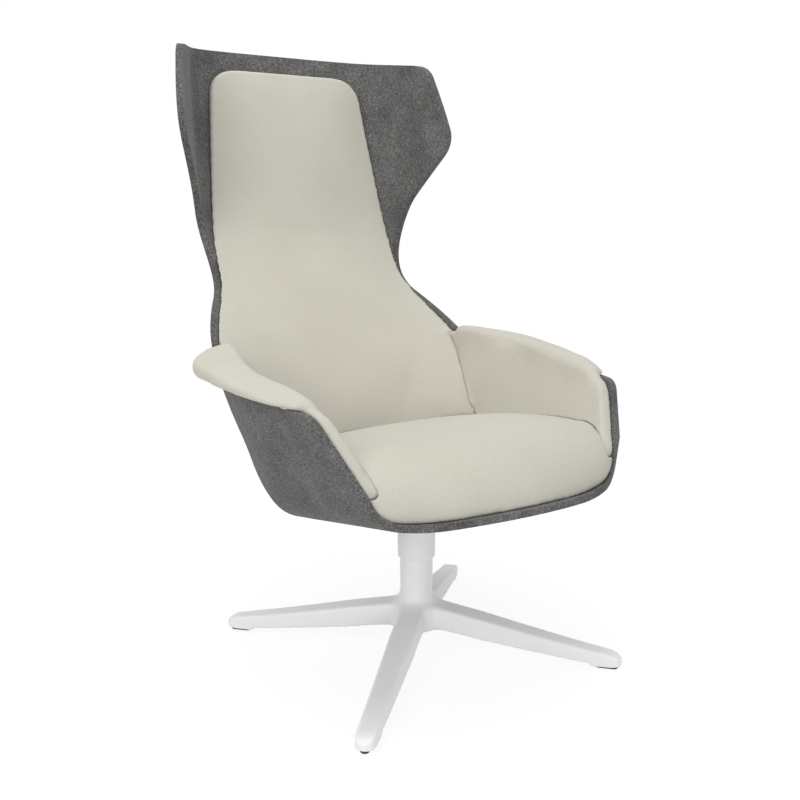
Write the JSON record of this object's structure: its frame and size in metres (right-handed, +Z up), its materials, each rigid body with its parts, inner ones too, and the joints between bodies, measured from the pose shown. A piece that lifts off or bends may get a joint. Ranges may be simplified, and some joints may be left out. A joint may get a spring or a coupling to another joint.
{
  "type": "swivel lounge chair",
  "caption": "High-backed swivel lounge chair: a moulded grey felt shell with wings and arms, cream pads, and a white star base.",
  "frame": {"origin": "on the floor, on the swivel axis, at the centre of the circle of glides", "axes": "+Z up, the chair faces -Y, +X is to the right seen from the front"},
  "size_m": [0.724, 0.8774, 1.1275],
  "materials": {
    "grey_felt": "mottled moulded wool felt",
    "cream_fabric": "smooth fine-woven upholstery",
    "white_paint": "satin white powder coat on cast metal",
    "black_plastic": "matt black",
    "dark_steel": "black painted plate",
    "bearing_steel": "plain machined steel",
    "bush_plastic": "natural bearing plastic",
    "plywood": "raw moulded plywood"
  },
  "bodies": {
    "base": {"star_base": "white_paint", "glide_front_left": "black_plastic", "glide_front_right": "black_plastic", "glide_back_left": "black_plastic", "glide_back_right": "black_plastic", "glide_screws": "bearing_steel", "spindle": "bearing_steel", "spindle_screws": "bearing_steel", "lower_race": "bearing_steel", "ball_cage": "bush_plastic", "bearing_balls": "bearing_steel", "retaining_washer": "bearing_steel", "retaining_ring": "bearing_steel"},
    "seat": {"upper_race": "bearing_steel", "lower_bush": "bush_plastic", "upper_bush": "bush_plastic", "swivel_collar": "white_paint", "seat_plate": "dark_steel", "bolt_washers": "bearing_steel", "plate_bolts": "bearing_steel", "t_nuts": "bearing_steel", "felt_shell": "grey_felt", "seat_board": "plywood", "back_board": "plywood", "arm_board_left": "plywood", "arm_board_right": "plywood", "seat_cushion": "cream_fabric", "back_cushion": "cream_fabric", "arm_pad_left": "cream_fabric", "arm_pad_right": "cream_fabric"}
  },
  "joints": [
    {"name": "swivel", "type": "hinge", "parent": "base", "child": "seat", "pos_m": [0, 0, 0.2], "axis": [0, 0, 1], "continuous": true}
  ]
}
